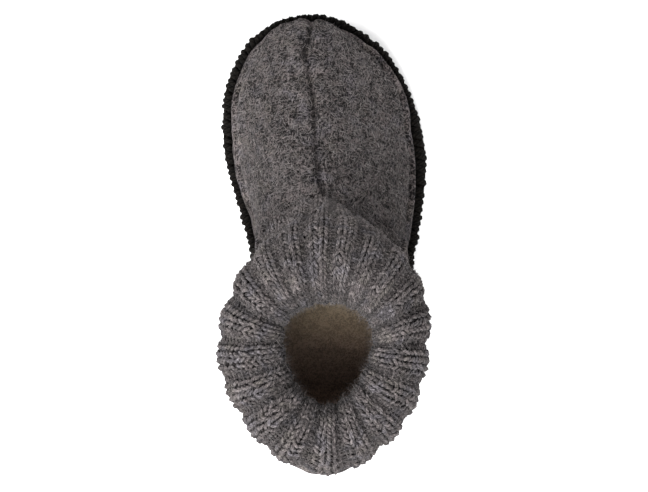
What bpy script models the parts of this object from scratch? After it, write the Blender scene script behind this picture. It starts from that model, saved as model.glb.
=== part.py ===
"""A wool slipper for the right foot: a boiled wool upper with a seam down its middle, a rubber sole,
a thick stitched edge that holds the two together, an insole and a knitted cuff that puffs out and
turns in on itself."""

import math

import bmesh
import bpy
import numpy as np

MM = 0.001

# Driving dimensions in millimetres. Along runs from the heel end of the sole to its toe, side from the
# medial edge (negative) to the lateral edge (positive), and heights are above the floor.
SOLE_LENGTH = 226.5
BALL_WIDTH = 101.0
INSTEP_HEIGHT = 62.0
CUFF_HEIGHT = 96.0

FELT = 3.2  # wall of the upper
GAP = 0.35  # between pieces that touch
TOE_SPRING = 7.0
ARCH_RISE = 2.0
HEEL_LIFT = 1.2

# Where the sole leaves the floor, as places along it
TOE_SPRING_FROM = 0.74
ARCH_FROM = 0.30
ARCH_TO = 0.57
HEEL_LIFT_TO = 0.07

# Levels through the sole where it lies flat on the floor
RIM_BOTTOM = 2.8
SOLE_TOP = 4.8
FLANGE_BOTTOM = SOLE_TOP + GAP
FLANGE_TOP = FLANGE_BOTTOM + FELT
INSOLE_THICKNESS = 3.0
GROOVE_DEPTH = 1.6

# The stitched edge wraps the rims of sole and upper
YARN = 1.6  # its thickness
BAND_MEDIAL = 4.6  # how far it reaches in over the felt
BAND_LATERAL = 6.0
BAND_TOE_CUT = 1.2  # how much less it reaches at the toe
BAND_UNDER = 5.2  # how far it reaches in under the sole
BAND_ROUND = 1.3  # bevel of its outer corners
RIM_INSET = YARN + GAP
TREAD_INSET = 6.4
TREAD_ROUND = 0.8
CREASE = 0.9  # from the stitched edge in to the foot of the felt wall
FOOT_STAND = 6.0  # the wall stands up this far beside the stitched edge before it bulges

SEAM_DEPTH = 0.9  # groove of the seam down the middle of the vamp
SEAM_HALF_WIDTH = 1.6
SEAM_CLEAR = 0.7  # no other column stands nearer the seam than this part of the columns' spacing

RIBS = 17
RIB_HEIGHT = 2.6
RIB_TOP = 0.22  # half width of a rib's top, as a part of the rib's pitch
RIB_FOOT = 0.32
RIB_PHASE = math.radians(181)
RIB_CROWDING = math.radians(4)  # the ribs draw together at the front
RIB_CROWDING_AT = math.radians(10)
KNIT = 2.4  # wall of the cuff between its ribs

UPPER_COLUMNS = 68
EDGE_COLUMNS = 78
UPPER_RINGS = 12
CUFF_RINGS = 15

# Outline of the stitched edge, seen from above. Along is a part of the sole's length, the sides of the
# ball width.
OUTLINE = (
    # name, along, medial, lateral
    ("heel curve", 0.040, -0.205, 0.225),
    ("heel", 0.105, -0.290, 0.312),
    ("heel seat", 0.200, -0.330, 0.362),
    ("waist", 0.345, -0.336, 0.408),
    ("arch", 0.480, -0.357, 0.449),
    ("instep", 0.600, -0.430, 0.491),
    ("ball back", 0.690, -0.484, 0.500),
    ("ball", 0.780, -0.492, 0.466),
    ("toes", 0.880, -0.456, 0.376),
    ("toe curve", 0.945, -0.368, 0.268),
    ("toe corner", 0.986, -0.230, 0.116),
)
HEEL_TIP_SIDE = 0.010
TOE_TIP_SIDE = -0.085

# Sections of the upper, each from one point of the outline up to the topline. Topline along is a part of
# the sole's length, its sides of the ball width and its height of the instep height. Shoulder is the
# height where the wall turns over, again of the instep height, run how far in it does so, bulge how far
# the wall leans out on its way there, and crown how much the felt arches from there to the topline.
SECTIONS = (
    # name, topline along, medial, lateral, height, shoulder medial, shoulder lateral, run, bulge, crown
    ("heel end", 0.028, 0.010, 0.010, 0.90, 0.52, 0.52, 0.5, 7.4, 0.0),
    ("heel", 0.090, -0.215, 0.235, 0.87, 0.48, 0.48, 0.5, 4.0, 0.0),
    ("heel seat", 0.195, -0.302, 0.335, 0.81, 0.44, 0.44, 0.0, 2.2, 0.0),
    ("waist", 0.340, -0.330, 0.395, 0.74, 0.42, 0.42, -2.0, 1.5, 0.0),
    ("arch", 0.450, -0.338, 0.418, 0.725, 0.44, 0.40, -0.5, 1.8, 0.5),
    ("instep", 0.506, -0.300, 0.345, 0.755, 0.46, 0.37, 6.0, 1.8, 2.0),
    ("ball back", 0.535, -0.252, 0.268, 0.81, 0.47, 0.36, 10.0, 1.6, 3.2),
    ("ball", 0.558, -0.196, 0.190, 0.875, 0.45, 0.36, 12.0, 1.5, 3.6),
    ("toes", 0.578, -0.130, 0.106, 0.94, 0.41, 0.36, 14.0, 1.2, 3.0),
    ("toe curve", 0.590, -0.078, 0.040, 0.98, 0.38, 0.36, 15.0, 1.0, 1.2),
    ("toe tip", 0.596, -0.020, -0.020, 1.00, 0.37, 0.37, 16.0, 1.0, 0.0),
)
TOPLINE_SKEW = 0.05  # the lateral side of the topline lies further back

# Controls of the wall's curve between its upright foot and the topline. Out is a share of the section's
# bulge, back a share of its run, and the heights are shares of the ways from flange to shoulder and from
# shoulder to topline.
WALL = (
    # name, out, back, to shoulder, to topline
    ("low", 1.35, 0.00, 0.45, 0.00),
    ("shoulder", 0.75, 0.15, 1.00, 0.00),
    ("turn", 0.35, 1.00, 1.00, 0.22),
)
TURN_LIFT = 1.5  # fullness of the felt where it turns over
TOPLINE_PULL = 0.55  # the crown's control lies this far from the turn to the topline

# Folds of the cuff from just above the topline, over its crest and down into the opening. Side, skew and
# half width are parts of the ball width, skew moving the fold's front to the lateral side. Front and back
# are places along the sole, and the heights are parts of the cuff's height.
CUFF_FOLDS = (
    # name, centre side, skew, half width, taper, front, back, height front, height side, height back
    ("low", 0.018, 0.010, 0.418, -0.06, 0.572, 0.036, 0.710, 0.625, 0.680),
    ("bulge", 0.002, 0.026, 0.474, 0.05, 0.545, 0.034, 0.810, 0.765, 0.800),
    ("shoulder", 0.002, 0.020, 0.438, 0.06, 0.508, 0.056, 0.925, 0.895, 0.915),
    ("crest", 0.005, 0.010, 0.362, 0.08, 0.461, 0.087, 0.995, 0.980, 0.985),
    ("lip", 0.015, 0.000, 0.278, 0.14, 0.418, 0.127, 0.990, 0.963, 0.968),
    ("opening", 0.020, 0.000, 0.212, 0.20, 0.386, 0.164, 0.915, 0.895, 0.895),
    ("inside", 0.020, 0.000, 0.202, 0.20, 0.380, 0.170, 0.815, 0.805, 0.805),
    ("hem", 0.020, 0.000, 0.218, 0.16, 0.386, 0.164, 0.735, 0.730, 0.730),
)
CUFF_CENTRE = 0.290  # along, where the ribs fan out from
CUFF_SIDE = 0.035  # side of the topline's middle
CUFF_HALF_WIDTH = 0.375
NECK_RISE = 3.0  # the cuff stands up from the topline before it puffs out

# Height of the ribs on the way from the seam over the crest and down inside, as a part of the rib height
RIB_GROWTH = (
    # place, height
    (0.03, 0.00),
    (0.21, 1.00),
    (0.62, 1.00),
    (0.87, 0.55),
)
SEAM_STEP = 0.8  # the felt's cut edge stands this proud of the knit
SEAT_GAP = 1.05  # from the felt's cut edge to the knit, wider because their facets differ

# Grooves across the tread, as places along the sole
TREAD_GROOVES = (0.10, 0.17, 0.24, 0.58, 0.65, 0.72, 0.79, 0.86)
GROOVE_WIDTH = 0.014
GROOVE_SLOPE = 0.003
SOLE_ROWS = (0.0, 0.012, 0.035, 0.065, 0.30, 0.345, 0.38, 0.415, 0.45, 0.485, 0.52, 0.91, 0.95, 0.98, 1.0)
SOLE_ACROSS = (0.0, 0.07, 0.09, 0.36, 0.64, 0.91, 0.93, 1.0)
GROOVE_ACROSS = (0.09, 0.91)  # a rim is left uncut round the grooves
PLAIN_ACROSS = (0.0, 0.5, 1.0)

# Colour (linear) and roughness of each piece
FINISHES = {
    "outsole": ((0.018, 0.018, 0.019), 0.75),
    "insole": ((0.135, 0.110, 0.070), 0.95),
    "upper": ((0.100, 0.100, 0.104), 0.95),
    "stitched_edge": ((0.012, 0.012, 0.013), 0.90),
    "cuff": ((0.130, 0.130, 0.134), 0.95),
}


def clear_scene():
    for thing in list(bpy.data.objects):
        bpy.data.objects.remove(thing, do_unlink=True)


def closed_spline(knots, values):
    """Smooth closed curve through a row of values at each knot, the knots rising from 0 to under 1."""
    knots = np.asarray(knots, float)
    values = np.asarray(values, float)
    count = len(knots)
    steps = np.diff(np.append(knots, knots[0] + 1))
    slopes = (np.roll(values, -1, 0) - values) / steps[:, None]
    matrix = np.zeros((count, count))
    right = np.zeros_like(values)
    for i in range(count):
        before, after = steps[i - 1], steps[i]
        matrix[i, i - 1] = after
        matrix[i, i] = 2 * (before + after)
        matrix[i, (i + 1) % count] = before
        right[i] = 3 * (after * slopes[i - 1] + before * slopes[i])
    tangents = np.linalg.solve(matrix, right)

    def at(where):
        where = np.mod(np.asarray(where, float) - knots[0], 1.0) + knots[0]
        index = np.clip(np.searchsorted(knots, where, "right") - 1, 0, count - 1)
        after = (index + 1) % count
        width = steps[index][:, None]
        part = ((where - knots[index]) / steps[index])[:, None]
        start, end = values[index], values[after]
        pull, push = tangents[index] * width, tangents[after] * width
        return (
            start * (2 * part**3 - 3 * part**2 + 1)
            + pull * (part**3 - 2 * part**2 + part)
            + end * (3 * part**2 - 2 * part**3)
            + push * (part**3 - part**2)
        )

    return at


def outline_points():
    """The outline's points in order: heel tip, medial side, toe tip, lateral side."""
    medial = [(row[2] * BALL_WIDTH, row[1] * SOLE_LENGTH) for row in OUTLINE]
    lateral = [(row[3] * BALL_WIDTH, row[1] * SOLE_LENGTH) for row in reversed(OUTLINE)]
    heel = [(HEEL_TIP_SIDE * BALL_WIDTH, 0.0)]
    toe = [(TOE_TIP_SIDE * BALL_WIDTH, SOLE_LENGTH)]
    return np.array(heel + medial + toe + lateral)


OUTLINE_POINTS = outline_points()
CHORDS = np.linalg.norm(np.roll(OUTLINE_POINTS, -1, 0) - OUTLINE_POINTS, axis=1)
OUTLINE_KNOTS = np.concatenate([[0], np.cumsum(CHORDS)[:-1]]) / CHORDS.sum()
TOE_KNOT = OUTLINE_KNOTS[len(OUTLINE) + 1]
OUTLINE_CURVE = closed_spline(OUTLINE_KNOTS, OUTLINE_POINTS)


def normals_at(where):
    """Outward normals of the outline in plan."""
    tiny = 1e-4
    along = OUTLINE_CURVE(where + tiny) - OUTLINE_CURVE(where - tiny)
    along /= np.linalg.norm(along, axis=1)[:, None]
    return np.stack([-along[:, 1], along[:, 0]], axis=1)


def inset_at(where, inset):
    """Points of the outline moved inwards by inset."""
    inset = np.broadcast_to(inset, np.shape(where))
    return OUTLINE_CURVE(where) - normals_at(where) * inset[:, None]


def band_at(where):
    """How far the stitched edge reaches in over the felt."""
    normal = normals_at(where)
    middle = (BAND_MEDIAL + BAND_LATERAL) / 2
    swing = (BAND_LATERAL - BAND_MEDIAL) / 2
    return middle + swing * normal[:, 0] - BAND_TOE_CUT * np.clip(normal[:, 1], 0, 1) ** 4


def lift_at(along):
    """How far the sole rises off the floor: toe spring, arch and the rounded heel end."""
    part = np.asarray(along) / SOLE_LENGTH
    toe = TOE_SPRING * np.clip((part - TOE_SPRING_FROM) / (1 - TOE_SPRING_FROM), 0, 1) ** 2
    arch = ARCH_RISE * np.sin(math.pi * np.clip((part - ARCH_FROM) / (ARCH_TO - ARCH_FROM), 0, 1)) ** 2
    heel = HEEL_LIFT * np.clip(1 - part / HEEL_LIFT_TO, 0, 1) ** 2
    return toe + arch + heel


def section_values():
    """Knots and values of the sections, medial from the heel end to the toe tip and lateral back again."""
    names = ["heel end"] + [row[0] for row in OUTLINE] + ["toe tip"]
    knots, values = [], []

    def add(row, top_side, shoulder, knot):
        along = row[1] * SOLE_LENGTH - TOPLINE_SKEW * top_side * BALL_WIDTH
        knots.append(knot)
        values.append(
            (
                top_side * BALL_WIDTH,
                along,
                row[4] * INSTEP_HEIGHT,
                shoulder * INSTEP_HEIGHT,
                row[7],
                row[8],
                row[9],
            )
        )

    for row in SECTIONS:
        add(row, row[2], row[5], OUTLINE_KNOTS[names.index(row[0])])
    for row in reversed(SECTIONS[1:-1]):
        add(row, row[3], row[6], OUTLINE_KNOTS[-names.index(row[0])])
    return knots, values


SECTION_CURVE = closed_spline(*section_values())


def bspline(controls, count):
    """Points along a clamped cubic B-spline. Each control is an array with one point for each column."""
    controls = np.asarray(controls, float)
    degree = 3
    spans = len(controls) - degree
    knots = np.concatenate([[0] * degree, np.linspace(0, spans, spans + 1), [spans] * degree])
    rings = []
    for value in np.linspace(0, spans, count):
        span = min(int(value), spans - 1) + degree
        points = [controls[span - degree + i] for i in range(degree + 1)]
        for level in range(1, degree + 1):
            for i in range(degree, level - 1, -1):
                low = knots[span - degree + i]
                high = knots[span + 1 + i - level]
                part = (value - low) / (high - low)
                points[i] = (1 - part) * points[i - 1] + part * points[i]
        rings.append(points[degree])
    return np.array(rings)


def with_height(plan, height):
    height = np.broadcast_to(height, (len(plan),))
    return np.column_stack([plan, height])


def upper_surface(where, rings):
    """The felt's outer face: an array of rings from the rim under the stitched edge up to the topline."""
    foot_inset = band_at(where) + CREASE
    normal = normals_at(where)
    top_side, top_along, top_height, shoulder, run, bulge, crown = SECTION_CURVE(where).T
    top = np.column_stack([top_side, top_along, top_height])
    foot = with_height(inset_at(where, foot_inset), FLANGE_TOP)
    lift = lift_at(foot[:, 1])
    outward = with_height(normal, 0.0)
    up = np.array([0.0, 0.0, 1.0])

    def moved(out, height):
        return foot + outward * out[:, None] + up * (height - FLANGE_TOP + lift)[:, None]

    upright = np.zeros(len(where))
    controls = [moved(upright, FLANGE_TOP + upright), moved(upright, FLANGE_TOP + FOOT_STAND + upright)]
    for _, out, back, to_shoulder, to_topline in WALL:
        height = FLANGE_TOP + to_shoulder * (shoulder - FLANGE_TOP) + to_topline * (top_height - shoulder)
        controls.append(moved(out * bulge - back * run, height))
    turn = controls[-1] + up * TURN_LIFT
    controls[-1] = turn
    controls.append((1 - TOPLINE_PULL) * turn + TOPLINE_PULL * top + up * crown[:, None])
    controls.append(top)
    wall = bspline(controls, rings)
    rim_plan = inset_at(where, RIM_INSET)
    rim = with_height(rim_plan, FLANGE_TOP + lift_at(rim_plan[:, 1]))
    flange = (rim + wall[0]) / 2
    return np.concatenate([[rim], [flange], wall])


def surface_normals(rings):
    """Outward normals of a closed grid of rings, the first index running up and the second round."""
    round_step = np.roll(rings, -1, 1) - np.roll(rings, 1, 1)
    up_step = np.gradient(rings, axis=0)
    normal = np.cross(up_step, round_step)
    return normal / np.linalg.norm(normal, axis=2)[:, :, None]


def add_piece(name, mesh_bm, sharp=35.0):
    """A mesh object from a bmesh in millimetres, with its own material and its normals facing out."""
    bmesh.ops.scale(mesh_bm, vec=(MM, MM, MM), verts=mesh_bm.verts)
    bmesh.ops.recalc_face_normals(mesh_bm, faces=mesh_bm.faces)
    mesh = bpy.data.meshes.new(name)
    mesh_bm.to_mesh(mesh)
    mesh_bm.free()
    mesh.shade_smooth()
    mesh.set_sharp_from_angle(angle=math.radians(sharp))
    piece = bpy.data.objects.new(name, mesh)
    bpy.context.scene.collection.objects.link(piece)
    colour, roughness = FINISHES[name]
    material = bpy.data.materials.new(name)
    material.use_nodes = True
    shader = material.node_tree.nodes["Principled BSDF"]
    shader.inputs["Base Color"].default_value = (*colour, 1.0)
    shader.inputs["Roughness"].default_value = roughness
    shader.inputs["Metallic"].default_value = 0.0
    mesh.materials.append(material)
    return piece


def ring_loop(mesh_bm, points):
    return [mesh_bm.verts.new(point) for point in points]


def join_loops(mesh_bm, first, second):
    """Quads between two closed loops of the same length."""
    count = len(first)
    for i in range(count):
        after = (i + 1) % count
        mesh_bm.faces.new((first[i], first[after], second[after], second[i]))


def closed_loft(name, loops):
    """A solid ring: loops of points, each joined to the next and the last to the first."""
    mesh_bm = bmesh.new()
    made = [ring_loop(mesh_bm, loop) for loop in loops]
    for first, second in zip(made, made[1:] + made[:1]):
        join_loops(mesh_bm, first, second)
    return add_piece(name, mesh_bm)


def upper_columns():
    """Places of the upper's columns round the outline, three of them close together at its seam."""
    plain = np.linspace(0, 1, UPPER_COLUMNS, endpoint=False)
    clear = SEAM_CLEAR / UPPER_COLUMNS
    plain = plain[np.abs(plain - TOE_KNOT) > clear]
    beside = np.array([-0.5, 0.0, 0.5]) * clear
    return np.sort(np.concatenate([plain, TOE_KNOT + beside]))


def upper_face():
    """The felt's outer face before the seam is sunk into it, and the column of the seam."""
    where = upper_columns()
    outer = upper_surface(where, UPPER_RINGS)
    seam = int(np.argmin(np.abs(where - TOE_KNOT)))
    for side in (-1, 1):
        middle, edge, beyond = outer[:, seam], outer[:, seam + side], outer[:, seam + 2 * side]
        reach = np.linalg.norm(beyond - middle, axis=1)[:, None]
        edge[:] = middle + (beyond - middle) * np.minimum(0.5, SEAM_HALF_WIDTH / reach)
    return outer, seam


def make_upper():
    """One hollow shell of felt, open at the topline and underneath, its seam a groove down the vamp."""
    where = upper_columns()
    outer, seam = upper_face()
    normal = surface_normals(outer)
    inner = outer - normal * FELT
    flange = np.array([0.0, 0.0, FELT])
    inner[0] = outer[0] - flange
    inner[1] = outer[1] - flange
    foot_plan = inset_at(where, band_at(where) + CREASE + FELT)
    inner[2] = with_height(foot_plan, FLANGE_BOTTOM + lift_at(foot_plan[:, 1]))
    outer[3:, seam] -= normal[3:, seam] * SEAM_DEPTH
    return closed_loft("upper", list(outer) + list(inner[::-1]))


def topline_frame():
    """The topline's points, each with its direction from the cuff's middle, the felt's normal and its rise."""
    rings, _ = upper_face()
    normal = surface_normals(rings)[-1]
    rise = rings[-1] - rings[-2]
    rise /= np.linalg.norm(rise, axis=1)[:, None]
    top = rings[-1]
    front = top[:, 1].max()
    back = top[:, 1].min()
    centre = CUFF_CENTRE * SOLE_LENGTH
    reach = np.where(top[:, 1] > centre, front - centre, centre - back)
    side = (top[:, 0] - CUFF_SIDE * BALL_WIDTH) / (CUFF_HALF_WIDTH * BALL_WIDTH)
    direction = np.unwrap(np.arctan2(side, (top[:, 1] - centre) / reach))
    return direction, top, normal, rise


def cuff_directions():
    """Directions of the cuff's columns, four to a rib, and which of them lie on a rib's top."""
    pitch = 2 * math.pi / RIBS
    directions, on_top = [], []
    for rib in range(RIBS):
        for offset, top in ((-RIB_FOOT, 0), (-RIB_TOP, 1), (RIB_TOP, 1), (RIB_FOOT, 0)):
            plain = RIB_PHASE + (rib + offset) * pitch
            directions.append(plain - RIB_CROWDING * math.sin(plain - RIB_CROWDING_AT))
            on_top.append(top)
    return np.array(directions), np.array(on_top, float)


def fold_ring(fold, directions):
    """The points of one fold of the cuff."""
    _, side, skew, half_width, taper, front, back, high_front, high_side, high_back = fold
    sine, cosine = np.sin(directions), np.cos(directions)
    centre = CUFF_CENTRE * SOLE_LENGTH
    reach = np.where(cosine > 0, front * SOLE_LENGTH - centre, centre - back * SOLE_LENGTH)
    end_height = np.where(cosine > 0, high_front, high_back)
    height = high_side + (end_height - high_side) * cosine**2
    middle = side + skew * np.clip(cosine, 0, 1)
    across = BALL_WIDTH * (middle + half_width * sine * (1 + taper * cosine))
    return np.column_stack([across, centre + reach * cosine, height * CUFF_HEIGHT])


def at_directions(directions, known, values):
    """Values of the topline at the given directions, read round the closed loop."""
    order = np.argsort(np.mod(known, 2 * math.pi))
    turned = np.mod(known, 2 * math.pi)[order]
    ordered = values[order]
    turned = np.concatenate([turned - 2 * math.pi, turned, turned + 2 * math.pi])
    ordered = np.concatenate([ordered] * 3)
    wanted = np.mod(directions, 2 * math.pi)
    return np.column_stack([np.interp(wanted, turned, ordered[:, i]) for i in range(3)])


def cuff_surface(directions, rings):
    """The knit's face between its ribs, from the topline over the crest and down to the hem inside."""
    known, top, normal, rise = topline_frame()
    top = at_directions(directions, known, top)
    normal = at_directions(directions, known, normal)
    rise = at_directions(directions, known, rise)
    seat = top + rise * SEAT_GAP - normal * SEAM_STEP
    neck = seat + rise * 0.5 * NECK_RISE + np.array([0.0, 0.0, 0.5 * NECK_RISE])
    folds = [fold_ring(fold, directions) for fold in CUFF_FOLDS]
    controls = np.array([seat, neck] + folds)
    steps = np.linalg.norm(np.diff(controls, axis=0), axis=2).mean(axis=1)
    knots = np.concatenate([[0], np.cumsum(steps)])
    tangents = np.gradient(controls, knots, axis=0)
    rings_at = np.linspace(0, knots[-1], rings)
    made = []
    for place in rings_at:
        index = min(int(np.searchsorted(knots, place, "right")) - 1, len(knots) - 2)
        width = knots[index + 1] - knots[index]
        part = (place - knots[index]) / width
        made.append(
            controls[index] * (2 * part**3 - 3 * part**2 + 1)
            + tangents[index] * width * (part**3 - 2 * part**2 + part)
            + controls[index + 1] * (3 * part**2 - 2 * part**3)
            + tangents[index + 1] * width * (part**3 - part**2)
        )
    return np.array(made), normal


def make_cuff():
    """One hollow shell of knit with raised ribs, open inside the puff and at its own opening."""
    directions, on_top = cuff_directions()
    face, seat_normal = cuff_surface(directions, CUFF_RINGS)
    normal = surface_normals(face)
    normal[0] = seat_normal
    places, heights = zip(*RIB_GROWTH)
    growth = np.interp(np.linspace(0, 1, CUFF_RINGS), places, heights)
    outer = face + normal * (RIB_HEIGHT * growth)[:, None, None] * on_top[None, :, None]
    inner = face - normal * KNIT
    return closed_loft("cuff", list(outer) + list(inner[::-1]))


def make_stitched_edge():
    """The band of thick yarn that wraps the rims of sole and upper."""
    where = np.linspace(0, 1, EDGE_COLUMNS, endpoint=False)
    band = band_at(where)
    bottom = RIM_BOTTOM - GAP - YARN
    top = FLANGE_TOP + GAP + YARN
    section = (
        (BAND_UNDER, bottom),
        (BAND_ROUND, bottom),
        (0.0, bottom + BAND_ROUND),
        (0.0, top - BAND_ROUND),
        (BAND_ROUND, top),
        (band, top),
        (band, top - YARN),
        (YARN, top - YARN),
        (YARN, bottom + YARN),
        (BAND_UNDER, bottom + YARN),
    )
    loops = []
    for inset, height in section:
        plan = inset_at(where, inset)
        loops.append(with_height(plan, height + lift_at(plan[:, 1])))
    return closed_loft("stitched_edge", loops)


def sole_rows():
    """Rows along the sole with, for each, whether it lies in a groove of the tread."""
    rows = [(place, 0.0) for place in SOLE_ROWS]
    for groove in TREAD_GROOVES:
        half = GROOVE_WIDTH / 2
        rows += [
            (groove - half, 0.0),
            (groove - half + GROOVE_SLOPE, 1.0),
            (groove + half - GROOVE_SLOPE, 1.0),
            (groove + half, 0.0),
        ]
    rows.sort()
    return np.array(rows)


def halves(rows, inset):
    """Medial and lateral points of the outline, inset, for each row."""
    medial = inset_at(rows * TOE_KNOT, inset)
    lateral = inset_at(1 - rows * (1 - TOE_KNOT), inset)
    return medial, lateral


def lattice(mesh_bm, rows, across, loop, height):
    """A sheet that fills a closed loop, its rows running from the loop's medial half to its lateral half."""
    count = len(rows)
    medial = loop[:count]
    lateral = [loop[0]] + loop[:count - 1:-1] + [loop[count - 1]]
    lines = []
    for i in range(count):
        if i in (0, count - 1):
            lines.append([medial[i]] * len(across))
            continue
        start, end = medial[i].co, lateral[i].co
        line = [medial[i]]
        for part in across[1:-1]:
            plan = start.lerp(end, part)
            plan.z = height(i, part, plan)
            line.append(mesh_bm.verts.new(plan))
        line.append(lateral[i])
        lines.append(line)
    for first, second in zip(lines, lines[1:]):
        for j in range(len(across) - 1):
            corners = [first[j], first[j + 1], second[j + 1], second[j]]
            kept = []
            for corner in corners:
                if corner not in kept:
                    kept.append(corner)
            if len(kept) > 2:
                mesh_bm.faces.new(kept)


def slab_loops(rows, levels):
    """Closed loops round a slab. Each level is an inset and a height."""
    loops = []
    for inset, height in levels:
        medial, lateral = halves(rows, inset)
        plan = np.concatenate([medial, lateral[-2:0:-1]])
        loops.append(with_height(plan, height + lift_at(plan[:, 1])))
    return loops


def make_outsole():
    """Rubber sole: a thin rim that the stitches wrap, a thicker tread inside it, and grooves across it."""
    table = sole_rows()
    rows, in_groove = table[:, 0], table[:, 1]
    levels = (
        (RIM_INSET, SOLE_TOP),
        (RIM_INSET, RIM_BOTTOM),
        (TREAD_INSET, RIM_BOTTOM),
        (TREAD_INSET, TREAD_ROUND),
        (TREAD_INSET + TREAD_ROUND, 0.0),
    )
    mesh_bm = bmesh.new()
    made = [ring_loop(mesh_bm, loop) for loop in slab_loops(rows, levels)]
    for first, second in zip(made, made[1:]):
        join_loops(mesh_bm, first, second)

    def tread(i, part, plan):
        cut = GROOVE_ACROSS[0] <= part <= GROOVE_ACROSS[1]
        return float(lift_at(plan.y)) + (GROOVE_DEPTH * in_groove[i] if cut else 0.0)

    def top(i, part, plan):
        return SOLE_TOP + float(lift_at(plan.y))

    lattice(mesh_bm, rows, SOLE_ACROSS, made[-1], tread)
    lattice(mesh_bm, rows, PLAIN_ACROSS, made[0], top)
    return add_piece("outsole", mesh_bm)


def make_insole():
    """Felt insole that lies on the sole inside the upper."""
    rows = np.sort(np.array(SOLE_ROWS + TREAD_GROOVES))
    where = np.concatenate([rows * TOE_KNOT, (1 - rows * (1 - TOE_KNOT))[-2:0:-1]])
    plan = inset_at(where, band_at(where) + CREASE + FELT + 2 * GAP)
    mesh_bm = bmesh.new()
    bottom, top = [
        ring_loop(mesh_bm, with_height(plan, height + lift_at(plan[:, 1])))
        for height in (FLANGE_BOTTOM, FLANGE_BOTTOM + INSOLE_THICKNESS)
    ]
    join_loops(mesh_bm, bottom, top)

    def level(height):
        return lambda i, part, plan: height + float(lift_at(plan.y))

    lattice(mesh_bm, rows, PLAIN_ACROSS, bottom, level(FLANGE_BOTTOM))
    lattice(mesh_bm, rows, PLAIN_ACROSS, top, level(FLANGE_BOTTOM + INSOLE_THICKNESS))
    return add_piece("insole", mesh_bm)


def stand_on_origin(pieces):
    """Parents the pieces to an empty that puts the middle of their box over the origin."""
    corners = np.array([vertex.co for piece in pieces for vertex in piece.data.vertices])
    low, high = corners.min(axis=0), corners.max(axis=0)
    frame = bpy.data.objects.new("slipper", None)
    bpy.context.scene.collection.objects.link(frame)
    frame.location = (-(low[0] + high[0]) / 2, -(low[1] + high[1]) / 2, -low[2])
    for piece in pieces:
        piece.parent = frame


clear_scene()
stand_on_origin([make_outsole(), make_insole(), make_upper(), make_stitched_edge(), make_cuff()])
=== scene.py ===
"""Looks of a wool slipper for the right foot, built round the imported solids: a felted wool upper with a
puckered centre seam, black yarn whipped round its edge, and a thick cuff in two-by-two rib."""

import math

import bpy
import numpy as np
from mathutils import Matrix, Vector
from mathutils.bvhtree import BVHTree
from mathutils.kdtree import KDTree


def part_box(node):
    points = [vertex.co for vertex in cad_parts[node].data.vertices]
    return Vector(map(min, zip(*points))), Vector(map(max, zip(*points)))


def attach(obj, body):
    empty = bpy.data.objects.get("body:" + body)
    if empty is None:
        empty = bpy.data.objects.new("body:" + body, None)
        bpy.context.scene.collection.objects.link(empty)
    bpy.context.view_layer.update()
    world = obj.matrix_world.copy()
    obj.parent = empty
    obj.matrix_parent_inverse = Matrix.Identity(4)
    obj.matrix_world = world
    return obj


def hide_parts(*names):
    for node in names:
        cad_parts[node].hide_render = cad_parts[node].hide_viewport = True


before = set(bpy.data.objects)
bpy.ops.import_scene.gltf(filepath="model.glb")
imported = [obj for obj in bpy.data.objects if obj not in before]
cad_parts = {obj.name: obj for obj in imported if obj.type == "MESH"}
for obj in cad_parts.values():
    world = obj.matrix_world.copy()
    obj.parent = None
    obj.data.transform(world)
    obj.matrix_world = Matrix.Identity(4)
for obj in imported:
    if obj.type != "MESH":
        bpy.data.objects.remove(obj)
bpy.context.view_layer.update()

MM = 0.001
SEED = 7

# Main sizes, read from the frame. Directions turn clockwise from the toe, seen from above.
EDGE_LOW, EDGE_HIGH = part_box("stitched_edge")
SOLE_LENGTH = EDGE_HIGH.y - EDGE_LOW.y
HEEL_END = EDGE_LOW.y
BALL_WIDTH = 101.0 * MM
AXIS_X = -0.4 * MM  # the sole's own axis lies this far to the medial side
CREST_KNIT = 2.4 * MM  # how far the solid's crest stands over the face of the knit
CUFF_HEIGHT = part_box("cuff")[1].z - CREST_KNIT

# The cuff: folds from just above the topline, over the crest and down into the opening. Side, skew and half
# width are parts of the ball width, front and back places along the sole, heights parts of the cuff's height.
CUFF_FOLDS = (
    # name, centre side, skew, half width, taper, front, back, height front, height side, height back
    ("low", 0.018, 0.010, 0.418, -0.06, 0.572, 0.036, 0.710, 0.625, 0.680),
    ("bulge", 0.002, 0.026, 0.474, 0.05, 0.545, 0.034, 0.810, 0.765, 0.800),
    ("shoulder", 0.002, 0.020, 0.438, 0.06, 0.508, 0.056, 0.925, 0.895, 0.915),
    ("crest", 0.005, 0.010, 0.362, 0.08, 0.461, 0.087, 0.995, 0.980, 0.985),
    ("lip", 0.015, 0.000, 0.278, 0.14, 0.418, 0.127, 0.990, 0.963, 0.968),
    ("opening", 0.020, 0.000, 0.212, 0.20, 0.386, 0.164, 0.915, 0.895, 0.895),
    ("inside", 0.020, 0.000, 0.202, 0.20, 0.380, 0.170, 0.815, 0.805, 0.805),
    ("hem", 0.020, 0.000, 0.218, 0.16, 0.386, 0.164, 0.735, 0.730, 0.730),
)
CUFF_TRIMS = (
    # direction in degrees clockwise from the toe, how far the cuff's widest folds move out there in mm
    *((45, 0.2), (70, 1.3), (90, 0.2), (105, 0.4), (120, 0.9), (135, 0.4)),
    *((150, -0.7), (163, 0.8), (180, 0.1), (200, -0.6), (222, 0.3), (230, -0.3)),
    *((240, 0.4), (250, 0.1), (260, 1.1), (270, 0.0), (280, 0.8), (295, 0.2)),
)
WIDEST_FOLDS = ("low", "bulge", "shoulder")
CUFF_SIDE, CUFF_MIDDLE = 0.035, 0.290  # the cuff's middle, in ball widths from the axis and along the sole
CUFF_CENTRE = np.array([CUFF_SIDE * BALL_WIDTH + AXIS_X, HEEL_END + CUFF_MIDDLE * SOLE_LENGTH])
TOPLINE_HALF_WIDTH = 0.375 * BALL_WIDTH
SEAM_STEP = 0.5 * MM  # the felt's cut edge stands this proud of the knit
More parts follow.
